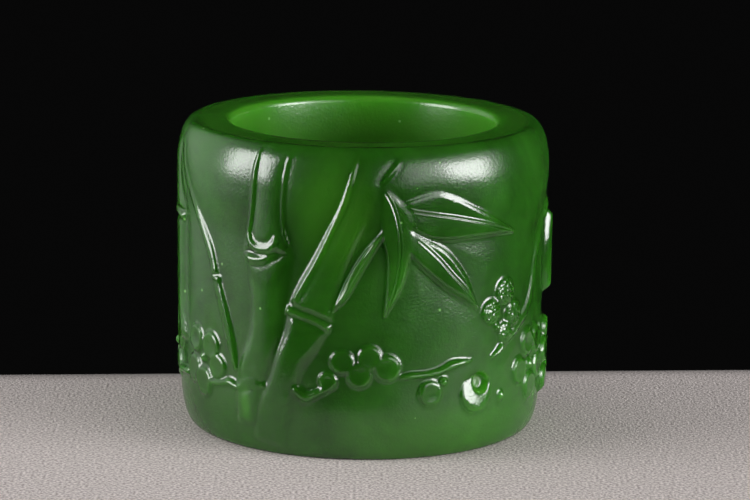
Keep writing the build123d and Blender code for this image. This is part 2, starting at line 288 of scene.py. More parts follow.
BACK_CULM = {
    "lower": [
        (-128.0, 0.050, 0.047), (-131.0, 0.200, 0.042), (-135.0, 0.340, 0.044), (-137.5, 0.440, 0.054),
    ],
    "upper": [
        (-138.0, 0.460, 0.054), (-140.5, 0.560, 0.042), (-144.0, 0.700, 0.040), (-147.0, 0.820, 0.042),
        (-150.0, 0.950, 0.049),
    ],
    "joint": [(-144.0, 0.464, 0.008), (-138.0, 0.450, 0.007), (-131.5, 0.436, 0.008)],
}


def culm_layers(culm, lift=CULM_LIFT, crispness=SOFT):
    """A crowned band for each length of the culm, a lip over each joint, and a raised ring on it.

    The crown falls with a power of the place across, and less on a narrow culm. The lip ends in a
    bowl: it reaches highest at the culm's two sides and lowest in the middle. Where the bowl has its
    own table, that cord takes the lip's place.
    """
    parts = []
    for name in ("lower", "upper"):
        band = places_on_band(culm[name])
        breadth = np.mean([row[2] for row in culm[name]]) / BROAD_HALF_WIDTH
        top = lift - CULM_CROWN * breadth * np.abs(band.across) ** CROWN_POWER
        if name == "upper" and "bowl" not in culm:
            lip_end = LIP_LENGTH * (LIP_MIDDLE + (1 - LIP_MIDDLE) * band.across**2)
            top = top + LIP_LIFT * smooth((lip_end - band.along) / LIP_SLOPE)
        parts.append(Layer(band.depth, top, crispness))
    joint = places_on_band(culm["joint"])
    ring_top = lift + JOINT_LIFT - JOINT_CROWN * (2 * joint.along / joint.length - 1) ** 2
    parts.append(Layer(joint.depth, ring_top, JOINT_CRISPNESS))
    if "bowl" in culm:
        bowl = places_on_band(culm["bowl"])
        parts.append(Layer(bowl.depth, lift + BOWL_LIFT - BOWL_CROWN * bowl.across**2, JOINT_CRISPNESS))
    return parts


# Fine rounded ridges are left along the culms' edges.
EDGE_LINE_LIFT = 0.10 * MM
EDGE_LINE_CROWN = 0.05 * MM
EDGE_LINE_CRISPNESS = 0.5
EDGE_LINES = [
    [(-1.6, 0.985, 0.003), (-3.4, 0.905, 0.006), (-5.6, 0.830, 0.007), (-9.8, 0.730, 0.007),
     (-13.9, 0.638, 0.007), (-18.6, 0.550, 0.007), (-20.6, 0.512, 0.004)],
    [(-22.6, 0.985, 0.001), (-23.6, 0.930, 0.002), (-24.2, 0.860, 0.002), (-24.4, 0.780, 0.002),
     (-23.8, 0.720, 0.002), (-22.6, 0.685, 0.001)],
    [(6.0, 0.900, 0.003), (8.2, 0.927, 0.006), (10.8, 0.958, 0.003)],
    [(-33.4, 0.985, 0.002), (-34.0, 0.930, 0.006), (-34.4, 0.860, 0.006), (-35.0, 0.790, 0.005),
     (-36.2, 0.720, 0.004), (-37.0, 0.690, 0.002)],
]


def cord_layers(tables, lift, crown, crispness):
    """Round cords: full along the middle and falling away with the square of the place across."""
    parts = []
    for rows in tables:
        band = places_on_band(rows)
        parts.append(Layer(band.depth, lift - crown * band.across**2, crispness))
    return parts


# The plum: an old branch that winds low round the ring, its twigs, a stem that climbs on the right and an
# old bough on it. They are round cords of uneven thickness, and the stem and that bough rise softly.
BRANCH_LIFT = 0.05 * MM
BRANCH_CROWN = 0.16 * MM
BRANCH_CRISPNESS = 0.7
STEM_LIFT = -0.12 * MM
SIDE_BOUGH_LIFT = 0.42 * MM
BRANCHES = {
    "branch_left": [
        (-54.0, 0.200, 0.008), (-49.0, 0.205, 0.008), (-44.0, 0.217, 0.009), (-40.5, 0.209, 0.009),
        (-37.0, 0.226, 0.009), (-34.5, 0.232, 0.010), (-32.3, 0.226, 0.008), (-30.0, 0.229, 0.007),
    ],
    "branch_middle": [
        (-20.5, 0.232, 0.010), (-16.7, 0.207, 0.013), (-13.5, 0.221, 0.010), (-10.0, 0.240, 0.009),
    ],
    "branch_right": [
        (12.0, 0.276, 0.004), (16.0, 0.280, 0.007), (20.5, 0.282, 0.006), (25.0, 0.289, 0.008),
        (29.0, 0.304, 0.011), (33.0, 0.309, 0.006), (36.0, 0.309, 0.002),
    ],
    "branch_far": [(44.5, 0.309, 0.003), (46.5, 0.320, 0.006), (49.2, 0.343, 0.009)],
    "stem": [
        (50.0, 0.345, 0.013), (57.0, 0.391, 0.018), (61.0, 0.416, 0.018), (64.5, 0.452, 0.018),
        (67.5, 0.512, 0.018), (70.0, 0.590, 0.018), (73.5, 0.656, 0.018), (79.0, 0.710, 0.017),
    ],
    "back_bough": [
        (79.0, 0.710, 0.017), (88.0, 0.735, 0.018), (97.0, 0.720, 0.016), (106.0, 0.740, 0.015),
        (116.0, 0.720, 0.013), (128.0, 0.690, 0.011),
    ],
    "side_bough": [
        (85.5, 0.450, 0.012), (87.0, 0.500, 0.032), (88.0, 0.570, 0.042), (88.0, 0.640, 0.036),
        (87.7, 0.685, 0.022), (87.4, 0.710, 0.012),
    ],
    "back_branch": [
        (-68.0, 0.200, 0.009), (-78.0, 0.190, 0.011), (-90.0, 0.215, 0.012), (-102.0, 0.200, 0.012),
        (-113.0, 0.230, 0.011),
    ],
    "back_twig": [
        (139.0, 0.310, 0.010), (147.0, 0.290, 0.012), (157.0, 0.315, 0.012), (167.0, 0.290, 0.010),
    ],
}


def branch_layers(names, lift=BRANCH_LIFT, crispness=BRANCH_CRISPNESS):
    """The cords of the branches that are named."""
    return cord_layers([BRANCHES[name] for name in names], lift, BRANCH_CROWN, crispness)


# The bamboo leaves: a spray of four broad blades from one sheath, and a guessed one on the back. Each
# blade has two pillowed halves and a cut midrib, and the later rows lie over the earlier ones.
LEAF_LIFT = 0.01 * MM
LEAF_PILLOW = 0.012 * MM
LEAF_CRISPNESS = 1.0
LEAVES = {
    "leaf_left": [
        (8.6, 0.770, 0.004, 0.004), (5.6, 0.728, 0.005, 0.007), (3.2, 0.690, 0.006, 0.012),
        (0.3, 0.638, 0.006, 0.016), (-2.9, 0.575, 0.006, 0.016), (-5.6, 0.527, 0.005, 0.011),
        (-8.4, 0.492, 0.0, 0.0),
    ],
    "leaf_low_right": [
        (12.5, 0.755, 0.006, 0.024), (15.5, 0.727, 0.010, 0.034), (19.0, 0.695, 0.018, 0.042),
        (24.0, 0.645, 0.030, 0.043), (28.0, 0.598, 0.030, 0.036), (32.0, 0.555, 0.022, 0.027),
        (35.0, 0.516, 0.010, 0.012), (38.0, 0.477, 0.0, 0.0),
    ],
    "leaf_right": [
        (11.5, 0.818, 0.012, 0.014), (15.5, 0.806, 0.034, 0.040), (22.0, 0.793, 0.054, 0.061),
        (28.0, 0.781, 0.048, 0.060), (34.0, 0.766, 0.036, 0.048), (40.0, 0.749, 0.026, 0.034),
        (46.0, 0.728, 0.017, 0.017), (54.0, 0.702, 0.0, 0.0),
    ],
    "leaf_down": [
        (6.6, 0.868, 0.004, 0.006), (8.4, 0.836, 0.018, 0.026), (10.2, 0.781, 0.033, 0.040),
        (11.2, 0.723, 0.033, 0.041), (11.2, 0.645, 0.025, 0.029), (10.3, 0.578, 0.018, 0.022),
        (7.2, 0.477, 0.0, 0.0),
    ],
    "back_leaf_side": [
        (-139.0, 0.760, 0.016, 0.016), (-132.0, 0.745, 0.036, 0.036), (-124.0, 0.700, 0.038, 0.038),
        (-116.0, 0.630, 0.024, 0.024), (-109.0, 0.540, 0.0, 0.0),
    ],
    "back_leaf_low": [
        (-146.0, 0.740, 0.016, 0.016), (-146.5, 0.680, 0.034, 0.034), (-148.0, 0.600, 0.036, 0.036),
        (-150.0, 0.500, 0.020, 0.020), (-152.0, 0.410, 0.0, 0.0),
    ],
    "back_leaf_mid": [
        (-150.0, 0.740, 0.018, 0.018), (-154.0, 0.680, 0.040, 0.040), (-159.0, 0.600, 0.040, 0.040),
        (-164.0, 0.520, 0.022, 0.022), (-168.0, 0.450, 0.0, 0.0),
    ],
    "back_leaf_high": [
        (-153.0, 0.800, 0.020, 0.020), (-160.0, 0.785, 0.044, 0.044), (-168.0, 0.750, 0.042, 0.042),
        (-177.0, 0.700, 0.024, 0.024), (-186.0, 0.640, 0.0, 0.0),
    ],
}


def leaf_layers():
    """Each half swells as half a sine wave from midrib to edge. The midrib's line is the stone's bump."""
    parts = []
    for rows in LEAVES.values():
        band = places_on_band(rows)
        swell = LEAF_PILLOW * np.sin(np.pi * np.clip(np.abs(band.across), 0, 1))
        parts.append(Layer(band.depth, LEAF_LIFT + swell - LEAF_PILLOW / 2, LEAF_CRISPNESS, band.aside))
    return parts


# The plum blossoms, buds, the hollowed boss and the pine clusters: round petals set round a small bead,
# and discs that are stippled with fine beads. A row is an angle in degrees, a share of the height, and
# the radius as a share of the band's diameter.
PETAL_LIFT = 0.24 * MM
LOW_PETAL_LIFT = -0.04 * MM
PETAL_CUP = 0.10 * MM
BOSS_LIFT = -0.20 * MM
BOSS_SLOPE = 0.20
BOSS_LEAN = 0.25
HOLLOW_DEPTH = 0.55 * MM
HOLLOW_EDGE = 1.05
HOLLOW_STEEPNESS = 2.4
PINE_LIFT = 0.02 * MM
BEAD_LIFT = 0.08 * MM
DOME_FALL = 0.10 * MM
DOME_CRISPNESS = 0.7
PETALS = [
    (86.5, 0.315, 0.036), (92.5, 0.258, 0.036), (90.5, 0.163, 0.036), (82.5, 0.163, 0.036),
    (80.8, 0.258, 0.036),
    (172.0, 0.270, 0.034), (171.0, 0.345, 0.036), (178.0, 0.390, 0.036), (186.0, 0.345, 0.036),
    (184.0, 0.262, 0.036),
    (128.0, 0.745, 0.034), (132.0, 0.670, 0.036), (140.0, 0.700, 0.036), (138.0, 0.775, 0.036),
    (98.0, 0.630, 0.030),
]
LOW_PETALS = [
    (-9.9, 0.264, 0.024), (-5.6, 0.326, 0.031), (2.7, 0.341, 0.031), (8.1, 0.306, 0.034),
    (-0.3, 0.284, 0.032), (21.8, 0.219, 0.032),
    (59.0, 0.238, 0.034), (64.0, 0.322, 0.036), (72.0, 0.315, 0.038), (74.5, 0.225, 0.038),
    (66.5, 0.176, 0.036),
    (-63.5, 0.225, 0.036), (-62.5, 0.325, 0.036), (-53.6, 0.318, 0.036), (-57.2, 0.194, 0.037),
    (-50.0, 0.255, 0.032),
    (-86.0, 0.340, 0.035), (-80.5, 0.290, 0.035), (-82.5, 0.200, 0.035), (-89.5, 0.200, 0.035),
    (-91.5, 0.290, 0.035),
    (-118.0, 0.262, 0.036), (-113.0, 0.330, 0.034),
]
BOSS = (38.4, 0.203, 0.052)
BOSS_HOLLOW = (40.2, 0.232, 0.029)
PINE_CLUSTERS = [
    (43.8, 0.455, 0.034), (50.1, 0.512, 0.037), (54.3, 0.436, 0.034), (49.9, 0.382, 0.026),
    (104.0, 0.440, 0.044), (112.0, 0.490, 0.050), (120.0, 0.440, 0.046), (112.0, 0.385, 0.040),
]
BEADS = [
    (-57.2, 0.274, 0.013), (26.0, 0.254, 0.011), (48.8, 0.175, 0.011), (65.5, 0.245, 0.013),
    (46.1, 0.404, 0.010), (178.5, 0.318, 0.012), (134.5, 0.724, 0.012),
    (86.5, 0.226, 0.013), (-86.0, 0.263, 0.013),
]


Disc = namedtuple("Disc", "depth out right up")


def places_on_disc(deg, share, radius_share):
    """Depth inside a round motif's edge, distance from its middle as a share, and offsets from it."""
    right = np.radians((chart_angle - deg + 180) % 360 - 180) * BAND_RADIUS
    up = chart_height - share * RING_HEIGHT
    out = np.hypot(right, up)
    radius = radius_share * BAND_DIAMETER
    return Disc(radius - out, out / radius, right, up)


def petal_layers(table, lift):
    """A petal is a shallow cup: its height rises with the square of the distance from its middle.

    It is laid over what is under it, so each petal shows its whole round edge.
    """
    parts = []
    for row in table:
        petal = places_on_disc(*row)
        top = lift - PETAL_CUP * (1 - np.minimum(petal.out, 1) ** 2)
        parts.append(Layer(petal.depth, top, LAID_OVER))
    return parts


def boss_layers():
    """A round boss cut to a slanted face, which falls towards its upper right and is drilled there."""
    boss = places_on_disc(*BOSS)
    hollow = places_on_disc(*BOSS_HOLLOW)
    face = BOSS_LIFT - BOSS_SLOPE * (boss.up + BOSS_LEAN * boss.right)
    drilled = HOLLOW_DEPTH * smooth(HOLLOW_STEEPNESS * (HOLLOW_EDGE - hollow.out))
    return [Layer(boss.depth, face - drilled, LAID_OVER)]


def dome_layers(table, lift):
    """Low domes: each falls away with the square of the distance from its middle."""
    parts = []
    for row in table:
        disc = places_on_disc(*row)
        parts.append(Layer(disc.depth, lift - DOME_FALL * disc.out**2, DOME_CRISPNESS))
    return parts


# All motifs, in the order in which they lie over each other. The stippling of the pine clusters is left
# to the stone's bump.
layers = culm_layers(SIDE_CULM) + culm_layers(BACK_CULM)
layers += culm_layers(UPRIGHT_CULM) + culm_layers(THIN_CULM, THIN_CULM_LIFT, THIN_CULM_CRISPNESS)
layers += branch_layers(["branch_left"]) + culm_layers(LEANING_CULM)
layers += cord_layers(EDGE_LINES, EDGE_LINE_LIFT, EDGE_LINE_CROWN, EDGE_LINE_CRISPNESS)
layers += branch_layers(["branch_middle", "branch_right", "branch_far"])
layers += branch_layers(["stem"], STEM_LIFT, SOFT) + branch_layers(["back_bough"])
layers += branch_layers(["side_bough"], SIDE_BOUGH_LIFT, SOFT)
layers += branch_layers(["back_branch", "back_twig"])
layers += leaf_layers() + dome_layers(PINE_CLUSTERS, PINE_LIFT) + boss_layers()
layers += petal_layers(LOW_PETALS, LOW_PETAL_LIFT) + petal_layers(PETALS, PETAL_LIFT)
layers += dome_layers(BEADS, BEAD_LIFT)
beaded = np.max([places_on_disc(*row).depth > 0 for row in PINE_CLUSTERS], axis=0)

# The ground: the blank's skin is cut back between the motifs and rises in a long slope to the plain band
# under the top. Close beside the motifs it is cut deeper, up to their ends on the top rounding. The
# motifs are left standing in it, each in its wall, and a shallow cut parts those that overlap.
GROUND_EVEN_DEPTH = 0.28 * MM
EVEN_SLOPE_TOP = 21.5 * MM
EVEN_SLOPE_HEIGHT = 4.0 * MM
CLOSE_DEPTH = 0.08 * MM
CLOSE_REACH = 1.5 * MM
CLOSE_SLOPE_TOP = 24.8 * MM
CLOSE_SLOPE_HEIGHT = 2.0 * MM
WALL_WIDTH = 0.46 * MM
SOFT_WALL_WIDTH = 1.10 * MM
PARTING_DEPTH = 0.035 * MM
PARTING_WIDTH = 0.24 * MM
OVERLAP_RISE = 0.2 * MM
JUNCTION_REACH = 0.35 * MM
LINE_END = 0.14 * MM
LINE_REACH = 3 * LINE_END
FAR = 1.0 * MM
PLAIN_END = 1 / 3


def wall_rise(x):
    """The mesh's wall over the unit interval: slope grows evenly to the middle, then falls evenly."""
    x = np.clip(x, 0, 1)
    return np.where(x < 0.5, 2 * x**2, 1 - 2 * (1 - x) ** 2)


beside = np.max([layer.depth for layer in layers], axis=0)
closeness = np.exp(-(np.minimum(beside, 0) / CLOSE_REACH) ** 2)
relief = -GROUND_EVEN_DEPTH * smooth((EVEN_SLOPE_TOP - chart_height) / EVEN_SLOPE_HEIGHT)
relief = relief - CLOSE_DEPTH * closeness * smooth((CLOSE_SLOPE_TOP - chart_height) / CLOSE_SLOPE_HEIGHT)

# Each layer in turn is cut round where it overlaps others, and the surface then rises to its top. The
# motif over a point, or else the nearest, gives the wall there that the stone's bump sharpens.
edge = np.full(relief.shape, -FAR)
nearest, second = np.full((2, *relief.shape), FAR)
drop, line_depth = np.zeros((2, *relief.shape))
line = np.full(relief.shape, NO_LINE)
carving = smooth((carving_strength - PLAIN_END) / (1 - PLAIN_END))[:, None]
for depth, top, crispness, aside in layers:
    away = np.abs(depth)
    step = top - relief if crispness == LAID_OVER else np.maximum(top - relief, 0)
    nearer = (depth > 0) | (away < nearest)
    second = np.minimum(second, np.where(nearer, nearest, away))
    nearest = np.where(nearer, away, nearest)
    edge = np.where(nearer, depth, edge)
    drop = np.where(nearer, step * crispness * carving, drop)
    lined = depth > -LINE_REACH
    line = np.where(lined, aside, line)
    line_depth = np.where(lined, smooth(depth / LINE_END) * (np.abs(aside) < NO_LINE), line_depth)
    overlap = smooth((relief + OVERLAP_RISE) / OVERLAP_RISE) * (crispness > SOFT)
    parting = PARTING_DEPTH * np.exp(-((depth + WALL_WIDTH / 2) / PARTING_WIDTH) ** 2) * overlap * carving
    width = WALL_WIDTH if crispness > SOFT else SOFT_WALL_WIDTH
    relief = relief - parting + (step + parting) * wall_rise(depth / width + 0.5)
drop = drop * smooth((second - nearest) / JUNCTION_REACH)

# Painted glow: a brighter green is painted into the stone's colour where light comes through it, in the bore
# and the boss's hollow, less in the end faces, and in patches: on the upright culm's foot, round the leaning
# culm's upper length and along the ring's foot. A row: an angle, a share of the height, half the patch's
# width and height over the diameter, and its strength.
BORE_PAINTED_GLOW = 0.72
FLAT_PAINTED_GLOW = 0.42
HOLLOW_PAINTED_GLOW = 0.6
PATCH_EDGE = 1.3
PAINTED_GLOW_PATCHES = [
    (-36.6, 0.160, 0.016, 0.048, 0.36),
    (-9.0, 0.800, 0.110, 0.160, 0.40),
    (25.0, 0.060, 0.300, 0.100, 0.20),
]
painted_glow = np.where(places_on_disc(*BOSS_HOLLOW).out < 1, HOLLOW_PAINTED_GLOW, 0.0)
for deg, share, half_width, half_height, strength in PAINTED_GLOW_PATCHES:
    patch = places_on_disc(deg, share, half_width)
    reach = np.hypot(patch.right / half_width, patch.up / half_height) / BAND_DIAMETER
    painted_glow = np.maximum(painted_glow, strength * smooth(PATCH_EDGE - reach))
bored = inside_radius < BORE_RADIUS + BORE_EDGE_RADIUS / 2
inside_painted_glow = np.where(bored, BORE_PAINTED_GLOW, FLAT_PAINTED_GLOW)[:, None]


# The carved ring itself: the blank's outside with the relief on it, joined to the end faces and the
# bore in one closed skin, since the real ring is one piece.
def ring_mesh(name):
    """Rows of the profile carried round the axis: each vertex is its row's radius at its angle."""
    wall = wall_radius[:, None] + relief * carving_strength[:, None]
    inside = np.repeat(inside_radius[:, None], COLUMNS, axis=1)
    radius = np.concatenate([wall, inside])
    height = np.repeat(np.concatenate([wall_height, inside_height])[:, None], COLUMNS, axis=1)
    points = np.stack([radius * np.sin(angle), -radius * np.cos(angle), height], axis=2)
    rows = len(radius)
    row, column = np.meshgrid(np.arange(rows), np.arange(COLUMNS), indexing="ij")
    next_row, next_column = (row + 1) % rows, (column + 1) % COLUMNS
    corners = np.stack([row * COLUMNS + column, row * COLUMNS + next_column,
                        next_row * COLUMNS + next_column, next_row * COLUMNS + column], axis=2)
    mesh = bpy.data.meshes.new(name)
    mesh.vertices.add(rows * COLUMNS)
    mesh.vertices.foreach_set("co", points.reshape(-1))
    mesh.loops.add(corners.size)
    mesh.loops.foreach_set("vertex_index", corners.reshape(-1))
    mesh.polygons.add(rows * COLUMNS)
    mesh.polygons.foreach_set("loop_start", np.arange(rows * COLUMNS) * 4)
    mesh.update(calc_edges=True)
    mesh.polygons.foreach_set("use_smooth", np.ones(rows * COLUMNS, dtype=bool))
    for title, values, elsewhere in (
        ("edge_depth", edge / MM, -FAR / MM), ("edge_drop", drop / MM, 0.0),
        ("line_distance", line / MM, NO_LINE / MM), ("line_depth", line_depth, 0.0),
        ("beaded", beaded, 0.0), ("painted_glow", painted_glow, inside_painted_glow),
    ):
        whole = np.empty((rows, COLUMNS))
        whole[:len(values)] = values
        whole[len(values):] = elsewhere
        mesh.attributes.new(title, "FLOAT", "POINT").data.foreach_set("value", whole.reshape(-1))
    mesh.validate()
    return mesh


ring = bpy.data.objects.new("carved_ring", ring_mesh("carved_ring"))
bpy.context.scene.collection.objects.link(ring)
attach(ring, "root")
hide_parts("thumb_ring")


# The stone: a deep green translucent nephrite with cloudy lighter streaks, polished to a soft wet gloss.
# The mesh carries each wall of the carving as one smooth slope. A bump gives it a foot and a shoulder of
# even curve and a steeper middle, and draws the leaves' midribs, over distances in millimetres.
WALL_FOOT = 0.16
WALL_FOOT_RISE = 0.20
WALL_FOOT_POWER = 1.6
CURVE_STEPS = 24
LINE_PROFILE = [
    (-0.50, 0.00), (-0.28, 0.00), (-0.15, 0.40), (0.00, -0.40), (0.15, 0.40), (0.28, 0.00), (0.50, 0.00),
]
LINE_RELIEF = 0.06 * MM
CLOUDS_PER_METRE = 110
CLOUD_TONES = [(0.34, (0.0098, 0.064, 0.0034, 1)), (0.68, (0.0250, 0.126, 0.0098, 1))]
# Painted glow: the green painted where light comes through the stone.
PAINTED_GLOW_GREEN = (0.065, 0.270, 0.016, 1)
SPECK_CELLS_PER_METRE = 620
SPECK_GREEN = (0.16, 0.38, 0.10, 1)
SPECKLESS_SHARE = 0.45
SPECK_RADIUS = 0.085
SKIN_REACH = 7.0 * MM
SKIN_REACH_BY_COLOUR = (0.5, 1.0, 0.3)
REFRACTIVE_INDEX = 1.61
MOTIF_ROUGHNESS = 0.12
GROUND_ROUGHNESS = 0.22
ROUGH_FROM = 0.3
RIPPLES_PER_METRE = 4500
RIPPLE_RELIEF = 0.04 * MM
RIPPLE_STRENGTH = 0.38
STIPPLES_PER_METRE = 2150
STIPPLE_RELIEF = -0.12 * MM


def true_wall(x):
    """A curved foot and shoulder, each as wide as WALL_FOOT, and a straight steep middle between them."""
    foot = WALL_FOOT * MM / WALL_WIDTH
    x = np.clip(x, 0, 1)
    outer = np.minimum(x, 1 - x)
    curved = WALL_FOOT_RISE * (outer / foot) ** WALL_FOOT_POWER
    straight = WALL_FOOT_RISE + (0.5 - WALL_FOOT_RISE) * (outer - foot) / (0.5 - foot)
    rise = np.where(outer < foot, curved, straight)
    return np.where(x < 0.5, rise, 1 - rise)


def filled(tree, node, sources):
    """The node, with each named or numbered socket linked to another's output or set to a constant."""
    for name, source in sources.items():
        if isinstance(source, bpy.types.NodeSocket):
            tree.links.new(source, node.inputs[name])
        else:
            node.inputs[name].default_value = source
    return node


def at_points(tree, name):
    """The value that the mesh carries at each point under a name."""
    node = tree.nodes.new("ShaderNodeAttribute")
    node.attribute_name = name
    return node.outputs["Fac"]


def worked_out(tree, operation, *terms):
    """One step of arithmetic on numbers and other nodes' outputs."""
    node = tree.nodes.new("ShaderNodeMath")
    node.operation = operation
    return filled(tree, node, dict(enumerate(terms))).outputs["Value"]


def mapped(tree, value, start, end, low=0.0, high=1.0, interpolation="LINEAR"):
    """Carries a value from one range to another and stops at the ends."""
    node = tree.nodes.new("ShaderNodeMapRange")
    node.interpolation_type = interpolation
    sources = {"Value": value, "From Min": start, "From Max": end, "To Min": low, "To Max": high}
    return filled(tree, node, sources).outputs["Result"]


def mixed(tree, share, first, second):
    """A colour that goes from the first to the second with the share."""
    node = tree.nodes.new("ShaderNodeMix")
    node.data_type = "RGBA"
    return filled(tree, node, {"Factor": share, "A": first, "B": second}).outputs["Result"]


def toned(tree, value, tones):
    """A colour by a value, blended evenly between two tones, each with its place."""
    node = filled(tree, tree.nodes.new("ShaderNodeValToRGB"), {"Fac": value})
    for element, (place, colour) in zip(node.color_ramp.elements, tones):
        element.position = place
        element.color = colour
    return node.outputs["Color"]


def bump_over(tree, height, distance, strength, normal_under=None):
    """A bump of a height pattern, laid over another normal where one is given."""
    sources = {"Height": height, "Distance": distance, "Strength": strength}
    if normal_under:
        sources["Normal"] = normal_under
    return filled(tree, tree.nodes.new("ShaderNodeBump"), sources).outputs["Normal"]


def sharpened_walls(tree):
    """The true wall less the mesh's own, by distance inside the edge, times the wall's height."""
    half_width = WALL_WIDTH / MM / 2
    spanned = mapped(tree, at_points(tree, "edge_depth"), -half_width, half_width)
    shape = filled(tree, tree.nodes.new("ShaderNodeFloatCurve"), {"Value": spanned})
    points = shape.mapping.curves[0].points
    places = np.linspace(0, 1, CURVE_STEPS + 1)
    levels = 0.5 + true_wall(places) - wall_rise(places)
    points[0].location = (0, levels[0])
    points[-1].location = (1, levels[-1])
    for place, level in zip(places[1:-1], levels[1:-1]):
        points.new(place, level)
    shape.mapping.update()
    centred = worked_out(tree, "SUBTRACT", shape.outputs["Value"], 0.5)
    return worked_out(tree, "MULTIPLY", centred, at_points(tree, "edge_drop"))


def along_profile(tree, name, profile):
    """The level of a profile at the mesh's own value, through a ramp whose stops are its rows."""
    start, end = profile[0][0], profile[-1][0]
    spanned = mapped(tree, at_points(tree, name), start, end)
    node = filled(tree, tree.nodes.new("ShaderNodeValToRGB"), {"Fac": spanned})
    node.color_ramp.interpolation = "EASE"
    for row in profile[1:-1]:
        node.color_ramp.elements.new((row[0] - start) / (end - start))
    for element, row in zip(node.color_ramp.elements, profile):
        level = 0.5 + row[1]
        element.color = (level, level, level, 1)
    return node.outputs["Color"]


def clouded_green(tree, place):
    """Noise clouds the green, a painted glow brightens it where light comes through, and some cells hold a
    pale dot.
    """
    clouds = filled(tree, tree.nodes.new("ShaderNodeTexNoise"), {
        "Vector": place, "Scale": CLOUDS_PER_METRE, "Detail": 6, "Roughness": 0.62, "Distortion": 0.6})
    green = toned(tree, clouds.outputs["Fac"], CLOUD_TONES)
    with_painted_glow = mixed(tree, at_points(tree, "painted_glow"), green, PAINTED_GLOW_GREEN)
    cells = filled(tree, tree.nodes.new("ShaderNodeTexVoronoi"), {
        "Vector": place, "Scale": SPECK_CELLS_PER_METRE})
    chosen = filled(tree, tree.nodes.new("ShaderNodeSeparateColor"), {"Color": cells.outputs["Color"]})
    radius = mapped(tree, chosen.outputs["Red"], SPECKLESS_SHARE, 1.0, high=SPECK_RADIUS)
    speck = worked_out(tree, "LESS_THAN", cells.outputs["Distance"], radius)
    return mixed(tree, speck, with_painted_glow, SPECK_GREEN)


def carved_skin(tree, place):
    """Fine ripples of the gloss, the clusters' stippling, the walls and the midribs, over each other."""
    ripples = filled(tree, tree.nodes.new("ShaderNodeTexNoise"), {
        "Vector": place, "Scale": RIPPLES_PER_METRE, "Detail": 2})
    rippled = bump_over(tree, ripples.outputs["Fac"], RIPPLE_RELIEF, RIPPLE_STRENGTH)
    stipples = filled(tree, tree.nodes.new("ShaderNodeTexVoronoi"), {
        "Vector": place, "Scale": STIPPLES_PER_METRE})
    stippled = bump_over(tree, stipples.outputs["Distance"], STIPPLE_RELIEF, at_points(tree, "beaded"),
                         rippled)
    edged = bump_over(tree, sharpened_walls(tree), MM, 1.0, stippled)
    midribs = along_profile(tree, "line_distance", LINE_PROFILE)
    return bump_over(tree, midribs, LINE_RELIEF, at_points(tree, "line_depth"), edged)


def nephrite():
    """The clouded green carried by light under the skin, and a polish that is finer on the motifs."""
    material = bpy.data.materials.new("nephrite")
    material.use_nodes = True
    tree = material.node_tree
    place = tree.nodes.new("ShaderNodeTexCoord").outputs["Object"]
    roughness = mapped(tree, at_points(tree, "edge_depth"), -ROUGH_FROM, 0.0, GROUND_ROUGHNESS,
                       MOTIF_ROUGHNESS)
    filled(tree, tree.nodes["Principled BSDF"], {
        "Base Color": clouded_green(tree, place), "Roughness": roughness, "IOR": REFRACTIVE_INDEX,
        "Subsurface Weight": 1.0, "Subsurface Radius": SKIN_REACH_BY_COLOUR,
        "Subsurface Scale": SKIN_REACH, "Normal": carved_skin(tree, place)})
    return material


ring.data.materials.append(nephrite())


# The floor: a low podium covered with pale warm-grey felt, whose far edge runs at a slight angle just
# behind the ring. Its other edges lie just outside the picture.
FELT_BACK = 14.4 * MM
FELT_BACK_SLANT = 0.08
FELT_FRONT = -31 * MM
FELT_LEFT = -70 * MM
FELT_RIGHT = 48 * MM
FELT_EDGE_RADIUS = 4 * MM
FELT_EDGE_STEPS = 8
PODIUM_HEIGHT = 120 * MM
NAP_PER_METRE = 4200
NAP_RELIEF = 0.12 * MM
FELT_TONES = [(0.36, (0.30, 0.262, 0.254, 1)), (0.64, (0.72, 0.645, 0.628, 1))]
# Painted shade: the felt's colour goes to nearly black across its far edge, where it rounds away into
# darkness.
FELT_PAINTED_SHADE = (0.012, 0.011, 0.011, 1)
SHADE_BEFORE = 1.0 * MM
SHADE_PAST = 4.5 * MM
SHADE_WANDER = 2.5 * MM


def felt_mesh(name):
    """A strip whose two long edges bend down in quarter circles, swept from side to side.

    Its two ends are closed.
    """
    turn = np.linspace(0, math.pi / 2, FELT_EDGE_STEPS + 1)
    back = FELT_BACK + FELT_EDGE_RADIUS * np.sin(turn)
    front = FELT_FRONT - FELT_EDGE_RADIUS * np.sin(turn)
    drop = -FELT_EDGE_RADIUS * (1 - np.cos(turn))
    depth_line = np.concatenate([front[-1:], front[::-1], back, back[-1:]])
    height_line = np.concatenate([[-PODIUM_HEIGHT], drop[::-1], drop, [-PODIUM_HEIGHT]])
    slant = np.where(depth_line > 0, FELT_BACK_SLANT, 0)
    points = [(x, y + x * lean, z) for y, z, lean in zip(depth_line, height_line, slant)
              for x in (FELT_LEFT, FELT_RIGHT)]
    faces = [(2 * i, 2 * i + 1, 2 * i + 3, 2 * i + 2) for i in range(len(depth_line) - 1)]
    faces += [range(0, len(points), 2), range(len(points) - 1, 0, -2)]
    mesh = bpy.data.meshes.new(name)
    mesh.from_pydata(points, [], faces)
    return mesh


floor = bpy.data.objects.new("felt_floor", felt_mesh("felt_floor"))
bpy.context.scene.collection.objects.link(floor)


